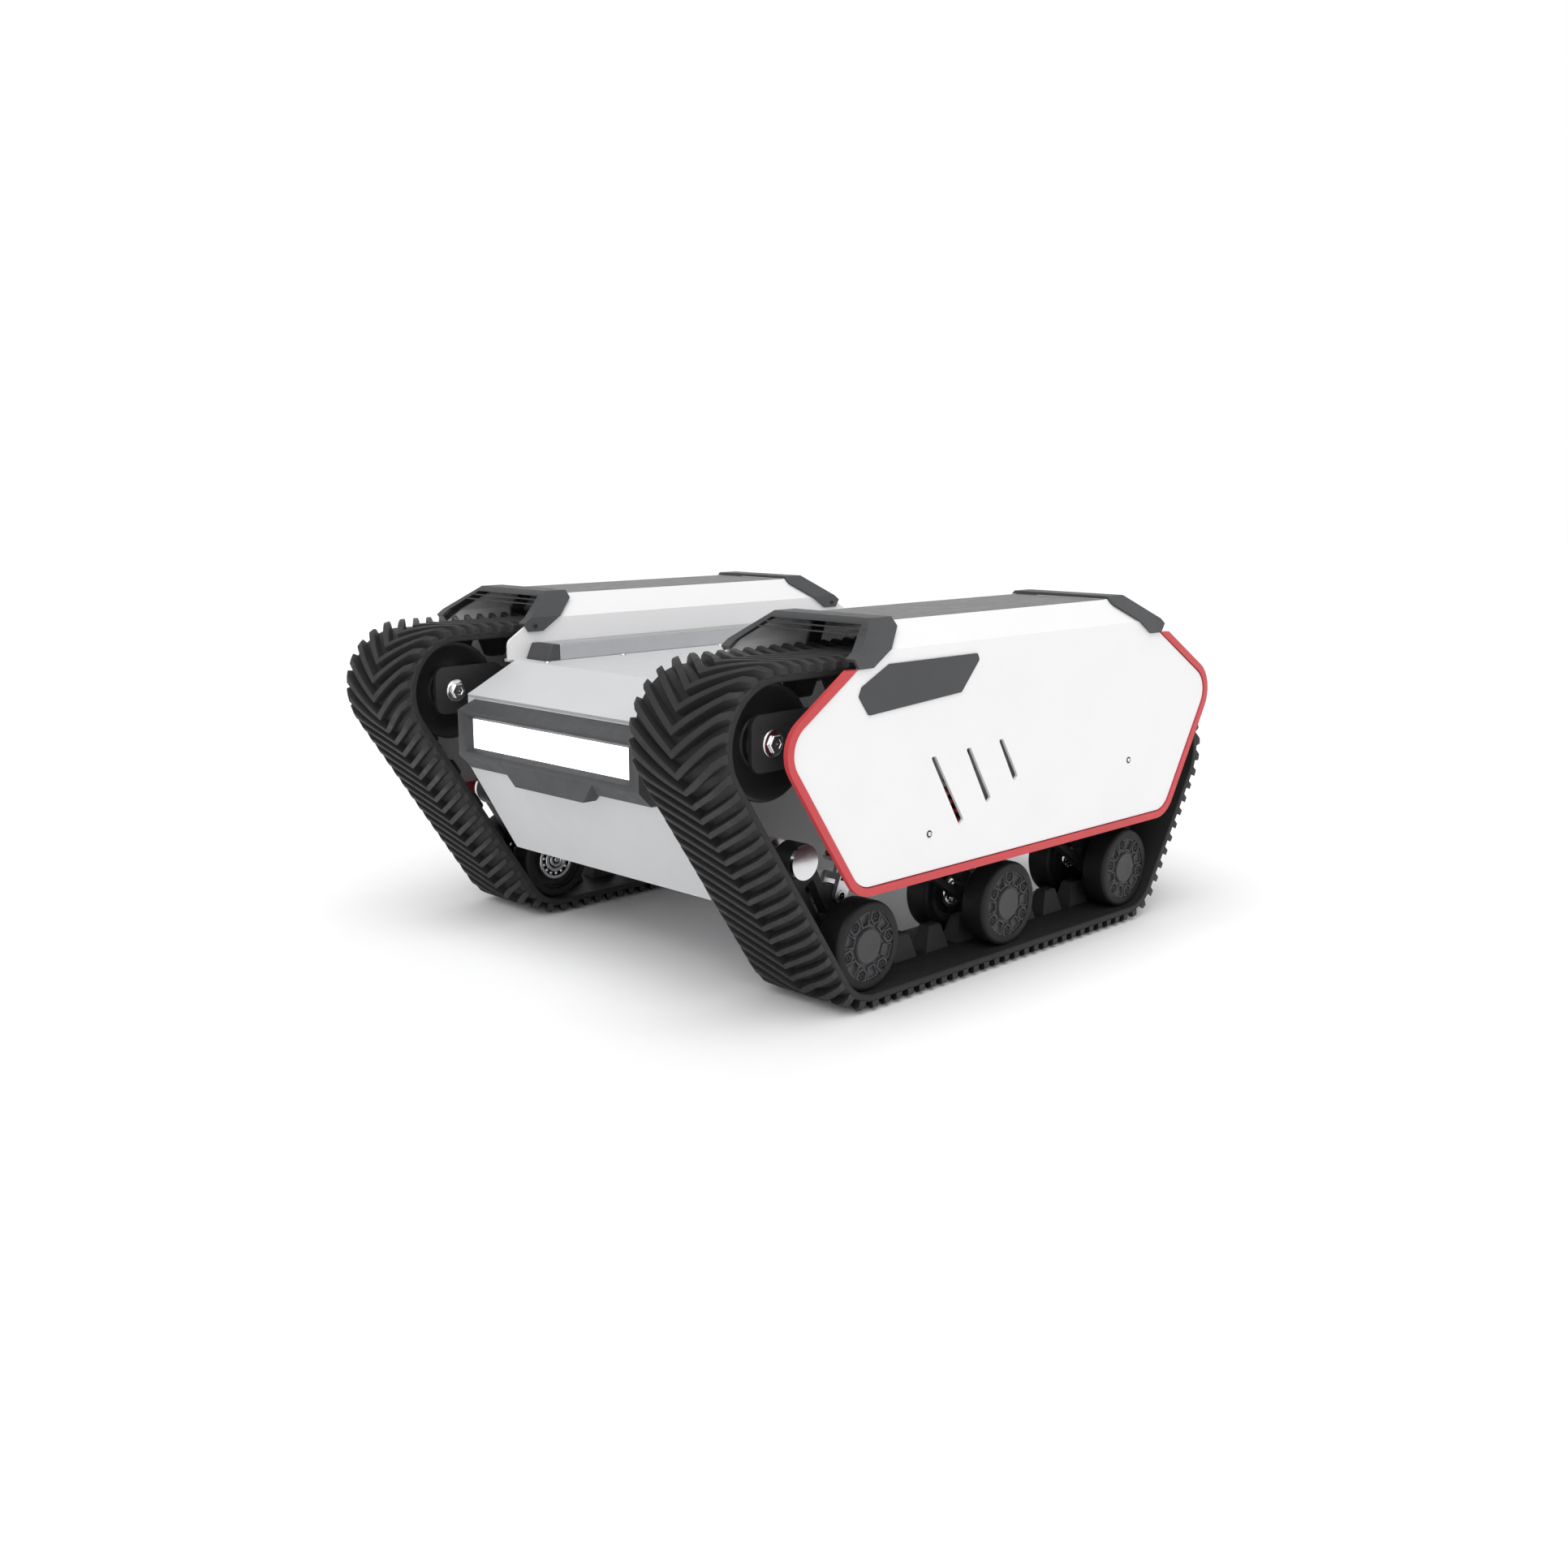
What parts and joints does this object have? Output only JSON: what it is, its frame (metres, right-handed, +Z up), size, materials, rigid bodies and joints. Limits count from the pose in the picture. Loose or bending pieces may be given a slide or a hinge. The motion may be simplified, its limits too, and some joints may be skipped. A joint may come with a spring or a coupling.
{
  "type": "tracked robot chassis",
  "caption": "Tracked robot chassis: sheet-metal hull between rubber tracks with sprung road wheels, covered track pods, a railed payload deck and a front light bar.",
  "frame": {"origin": "on the ground, under the middle of the bounding box", "axes": "+X forward towards the light bar, +Y to the robot's left, +Z up"},
  "size_m": [0.9987, 0.857, 0.4845],
  "materials": {
    "panel_white": "satin white powder coat",
    "hull_grey": "fine-textured light grey powder coat",
    "dark_trim": "moulded dark grey plastic with a fine grain",
    "rim_red": "satin red paint",
    "rubber_track": "moulded black rubber",
    "alloy_rail": "clear anodised extrusion",
    "dark_metal": "black-painted steel",
    "steel_bright": "polished steel",
    "motor_metal": "machined grey aluminium",
    "board_case": "dark case with a green board",
    "lens_white": "frosted diffuser",
    "wheel_dark": "moulded dark grey plastic",
    "damper_black": "black-painted damper body",
    "spring_red": "gloss red coated spring steel",
    "button_red": "gloss red plastic"
  },
  "bodies": {
    "chassis": {"hull_tub": "hull_grey", "front_plate": "hull_grey", "rear_plate": "dark_trim", "hoods": "hull_grey", "deck_plate": "hull_grey", "front_bumper": "dark_trim", "light_lens": "lens_white", "deck_rails": "alloy_rail", "side_panels": "panel_white", "inner_panels": "panel_white", "top_strips": "dark_trim", "panel_rims": "rim_red", "side_badges": "dark_trim", "pod_caps": "dark_trim", "pod_frames": "motor_metal", "track_left": "rubber_track", "track_right": "rubber_track", "idler_arms": "dark_metal", "pivot_shafts": "steel_bright", "drive_motors": "motor_metal", "electronics": "board_case", "fasteners": "steel_bright"},
    "estop": {"estop_button": "button_red"},
    "power": {"power_button": "steel_bright"},
    "sprocket_left_wheel": {"sprocket_left": "dark_metal"},
    "sprocket_right_wheel": {"sprocket_right": "dark_metal"},
    "idler_left_wheel": {"idler_left": "wheel_dark"},
    "roller_left_wheel": {"roller_left": "wheel_dark"},
    "arm_front_left_body": {"arm_front_left": "dark_metal"},
    "wheel_front_left_body": {"wheel_front_left": "wheel_dark"},
    "damper_front_left_body": {"damper_front_left": "damper_black", "spring_front_left": "spring_red"},
    "rod_front_left_body": {"rod_front_left": "steel_bright"},
    "arm_mid_left_body": {"arm_mid_left": "dark_metal"},
    "wheel_mid_left_body": {"wheel_mid_left": "wheel_dark"},
    "damper_mid_left_body": {"damper_mid_left": "damper_black", "spring_mid_left": "spring_red"},
    "rod_mid_left_body": {"rod_mid_left": "steel_bright"},
    "arm_rear_left_body": {"arm_rear_left": "dark_metal"},
    "wheel_rear_left_body": {"wheel_rear_left": "wheel_dark"},
    "damper_rear_left_body": {"damper_rear_left": "damper_black", "spring_rear_left": "spring_red"},
    "rod_rear_left_body": {"rod_rear_left": "steel_bright"},
    "idler_right_wheel": {"idler_right": "wheel_dark"},
    "roller_right_wheel": {"roller_right": "wheel_dark"},
    "arm_front_right_body": {"arm_front_right": "dark_metal"},
    "wheel_front_right_body": {"wheel_front_right": "wheel_dark"},
    "damper_front_right_body": {"damper_front_right": "damper_black", "spring_front_right": "spring_red"},
    "rod_front_right_body": {"rod_front_right": "steel_bright"},
    "arm_mid_right_body": {"arm_mid_right": "dark_metal"},
    "wheel_mid_right_body": {"wheel_mid_right": "wheel_dark"},
    "damper_mid_right_body": {"damper_mid_right": "damper_black", "spring_mid_right": "spring_red"},
    "rod_mid_right_body": {"rod_mid_right": "steel_bright"},
    "arm_rear_right_body": {"arm_rear_right": "dark_metal"},
    "wheel_rear_right_body": {"wheel_rear_right": "wheel_dark"},
    "damper_rear_right_body": {"damper_rear_right": "damper_black", "spring_rear_right": "spring_red"},
    "rod_rear_right_body": {"rod_rear_right": "steel_bright"}
  },
  "joints": [
    {"name": "estop_press", "type": "slide", "parent": "chassis", "child": "estop", "axis": [1, 0, 0], "range_m": [0, 0.004], "stiffness_N_per_m": 1200},
    {"name": "power_press", "type": "slide", "parent": "chassis", "child": "power", "axis": [1, 0, 0], "range_m": [0, 0.003], "stiffness_N_per_m": 800},
    {"name": "sprocket_spin_left", "type": "hinge", "parent": "chassis", "child": "sprocket_left_wheel", "pos_m": [-0.4085, 0.3165, 0.241], "axis": [0, 1, 0], "continuous": true},
    {"name": "sprocket_spin_right", "type": "hinge", "parent": "chassis", "child": "sprocket_right_wheel", "pos_m": [-0.4085, -0.3165, 0.241], "axis": [0, 1, 0], "continuous": true},
    {"name": "idler_spin_left", "type": "hinge", "parent": "chassis", "child": "idler_left_wheel", "pos_m": [0.4085, 0.3165, 0.353], "axis": [0, 1, 0], "continuous": true},
    {"name": "roller_spin_left", "type": "hinge", "parent": "chassis", "child": "roller_left_wheel", "pos_m": [-0.24, 0.3165, 0.365], "axis": [0, 1, 0], "continuous": true},
    {"name": "arm_swing_front_left", "type": "hinge", "parent": "chassis", "child": "arm_front_left_body", "pos_m": [0.3035, 0.3165, 0.18825], "axis": [0, 1, 0], "range_deg": [0, 12], "stiffness_Nm_per_rad": 250, "springref_deg": -6.88},
    {"name": "wheel_spin_front_left", "type": "hinge", "parent": "arm_front_left_body", "child": "wheel_front_left_body", "pos_m": [0.241, 0.3165, 0.08], "axis": [0, 1, 0], "continuous": true},
    {"name": "damper_swing_front_left", "type": "hinge", "parent": "chassis", "child": "damper_front_left_body", "pos_m": [0.18485, 0.3165, 0.27456], "axis": [0, 1, 0], "range_deg": [0, 2.5]},
    {"name": "rod_slide_front_left", "type": "slide", "parent": "damper_front_left_body", "child": "rod_front_left_body", "axis": [-0.342, 0, 0.9397], "range_m": [0, 0.018], "deforming": ["spring_front_left"]},
    {"name": "arm_swing_mid_left", "type": "hinge", "parent": "chassis", "child": "arm_mid_left_body", "pos_m": [0.06289, 0.3165, 0.1517], "axis": [0, 1, 0], "range_deg": [0, 12], "stiffness_Nm_per_rad": 250, "springref_deg": -6.88},
    {"name": "wheel_spin_mid_left", "type": "hinge", "parent": "arm_mid_left_body", "child": "wheel_mid_left_body", "pos_m": [-0.0395, 0.3165, 0.08], "axis": [0, 1, 0], "continuous": true},
    {"name": "damper_swing_mid_left", "type": "hinge", "parent": "chassis", "child": "damper_mid_left_body", "pos_m": [-0.00634, 0.3165, 0.27989], "axis": [0, 1, 0], "range_deg": [0, 2.5]},
    {"name": "rod_slide_mid_left", "type": "slide", "parent": "damper_mid_left_body", "child": "rod_mid_left_body", "axis": [0.0993, 0, 0.9951], "range_m": [0, 0.018], "deforming": ["spring_mid_left"]},
    {"name": "arm_swing_rear_left", "type": "hinge", "parent": "chassis", "child": "arm_rear_left_body", "pos_m": [-0.21761, 0.3165, 0.1517], "axis": [0, 1, 0], "range_deg": [0, 12], "stiffness_Nm_per_rad": 250, "springref_deg": -6.88},
    {"name": "wheel_spin_rear_left", "type": "hinge", "parent": "arm_rear_left_body", "child": "wheel_rear_left_body", "pos_m": [-0.32, 0.3165, 0.08], "axis": [0, 1, 0], "continuous": true},
    {"name": "damper_swing_rear_left", "type": "hinge", "parent": "chassis", "child": "damper_rear_left_body", "pos_m": [-0.28684, 0.3165, 0.27989], "axis": [0, 1, 0], "range_deg": [0, 2.5]},
    {"name": "rod_slide_rear_left", "type": "slide", "parent": "damper_rear_left_body", "child": "rod_rear_left_body", "axis": [0.0993, 0, 0.9951], "range_m": [0, 0.018], "deforming": ["spring_rear_left"]},
    {"name": "idler_spin_right", "type": "hinge", "parent": "chassis", "child": "idler_right_wheel", "pos_m": [0.4085, -0.3165, 0.353], "axis": [0, 1, 0], "continuous": true},
    {"name": "roller_spin_right", "type": "hinge", "parent": "chassis", "child": "roller_right_wheel", "pos_m": [-0.24, -0.3165, 0.365], "axis": [0, 1, 0], "continuous": true},
    {"name": "arm_swing_front_right", "type": "hinge", "parent": "chassis", "child": "arm_front_right_body", "pos_m": [0.3035, -0.3165, 0.18825], "axis": [0, 1, 0], "range_deg": [0, 12], "stiffness_Nm_per_rad": 250, "springref_deg": -6.88},
    {"name": "wheel_spin_front_right", "type": "hinge", "parent": "arm_front_right_body", "child": "wheel_front_right_body", "pos_m": [0.241, -0.3165, 0.08], "axis": [0, 1, 0], "continuous": true},
    {"name": "damper_swing_front_right", "type": "hinge", "parent": "chassis", "child": "damper_front_right_body", "pos_m": [0.18485, -0.3165, 0.27456], "axis": [0, 1, 0], "range_deg": [0, 2.5]},
    {"name": "rod_slide_front_right", "type": "slide", "parent": "damper_front_right_body", "child": "rod_front_right_body", "axis": [-0.342, 0, 0.9397], "range_m": [0, 0.018], "deforming": ["spring_front_right"]},
    {"name": "arm_swing_mid_right", "type": "hinge", "parent": "chassis", "child": "arm_mid_right_body", "pos_m": [0.06289, -0.3165, 0.1517], "axis": [0, 1, 0], "range_deg": [0, 12], "stiffness_Nm_per_rad": 250, "springref_deg": -6.88},
    {"name": "wheel_spin_mid_right", "type": "hinge", "parent": "arm_mid_right_body", "child": "wheel_mid_right_body", "pos_m": [-0.0395, -0.3165, 0.08], "axis": [0, 1, 0], "continuous": true},
    {"name": "damper_swing_mid_right", "type": "hinge", "parent": "chassis", "child": "damper_mid_right_body", "pos_m": [-0.00634, -0.3165, 0.27989], "axis": [0, 1, 0], "range_deg": [0, 2.5]},
    {"name": "rod_slide_mid_right", "type": "slide", "parent": "damper_mid_right_body", "child": "rod_mid_right_body", "axis": [0.0993, 0, 0.9951], "range_m": [0, 0.018], "deforming": ["spring_mid_right"]},
    {"name": "arm_swing_rear_right", "type": "hinge", "parent": "chassis", "child": "arm_rear_right_body", "pos_m": [-0.21761, -0.3165, 0.1517], "axis": [0, 1, 0], "range_deg": [0, 12], "stiffness_Nm_per_rad": 250, "springref_deg": -6.88},
    {"name": "wheel_spin_rear_right", "type": "hinge", "parent": "arm_rear_right_body", "child": "wheel_rear_right_body", "pos_m": [-0.32, -0.3165, 0.08], "axis": [0, 1, 0], "continuous": true},
    {"name": "damper_swing_rear_right", "type": "hinge", "parent": "chassis", "child": "damper_rear_right_body", "pos_m": [-0.28684, -0.3165, 0.27989], "axis": [0, 1, 0], "range_deg": [0, 2.5]},
    {"name": "rod_slide_rear_right", "type": "slide", "parent": "damper_rear_right_body", "child": "rod_rear_right_body", "axis": [0.0993, 0, 0.9951], "range_m": [0, 0.018], "deforming": ["spring_rear_right"]}
  ],
  "couplings": [
    {"joint": "idler_spin_left", "follows": "sprocket_spin_left", "ratio": 1},
    {"joint": "roller_spin_left", "follows": "sprocket_spin_left", "ratio": 1.2149},
    {"joint": "wheel_spin_front_left", "follows": "sprocket_spin_left", "ratio": 1.176},
    {"joint": "damper_swing_front_left", "follows": "arm_swing_front_left", "ratio": 0.1552},
    {"joint": "rod_slide_front_left", "follows": "arm_swing_front_left", "m_per_rad": 0.0837},
    {"joint": "wheel_spin_mid_left", "follows": "sprocket_spin_left", "ratio": 1.176},
    {"joint": "damper_swing_mid_left", "follows": "arm_swing_mid_left", "ratio": 0.1627},
    {"joint": "rod_slide_mid_left", "follows": "arm_swing_mid_left", "m_per_rad": 0.0834},
    {"joint": "wheel_spin_rear_left", "follows": "sprocket_spin_left", "ratio": 1.176},
    {"joint": "damper_swing_rear_left", "follows": "arm_swing_rear_left", "ratio": 0.1627},
    {"joint": "rod_slide_rear_left", "follows": "arm_swing_rear_left", "m_per_rad": 0.0834},
    {"joint": "idler_spin_right", "follows": "sprocket_spin_right", "ratio": 1},
    {"joint": "roller_spin_right", "follows": "sprocket_spin_right", "ratio": 1.2149},
    {"joint": "wheel_spin_front_right", "follows": "sprocket_spin_right", "ratio": 1.176},
    {"joint": "damper_swing_front_right", "follows": "arm_swing_front_right", "ratio": 0.1552},
    {"joint": "rod_slide_front_right", "follows": "arm_swing_front_right", "m_per_rad": 0.0837},
    {"joint": "wheel_spin_mid_right", "follows": "sprocket_spin_right", "ratio": 1.176},
    {"joint": "damper_swing_mid_right", "follows": "arm_swing_mid_right", "ratio": 0.1627},
    {"joint": "rod_slide_mid_right", "follows": "arm_swing_mid_right", "m_per_rad": 0.0834},
    {"joint": "wheel_spin_rear_right", "follows": "sprocket_spin_right", "ratio": 1.176},
    {"joint": "damper_swing_rear_right", "follows": "arm_swing_rear_right", "ratio": 0.1627},
    {"joint": "rod_slide_rear_right", "follows": "arm_swing_rear_right", "m_per_rad": 0.0834}
  ]
}
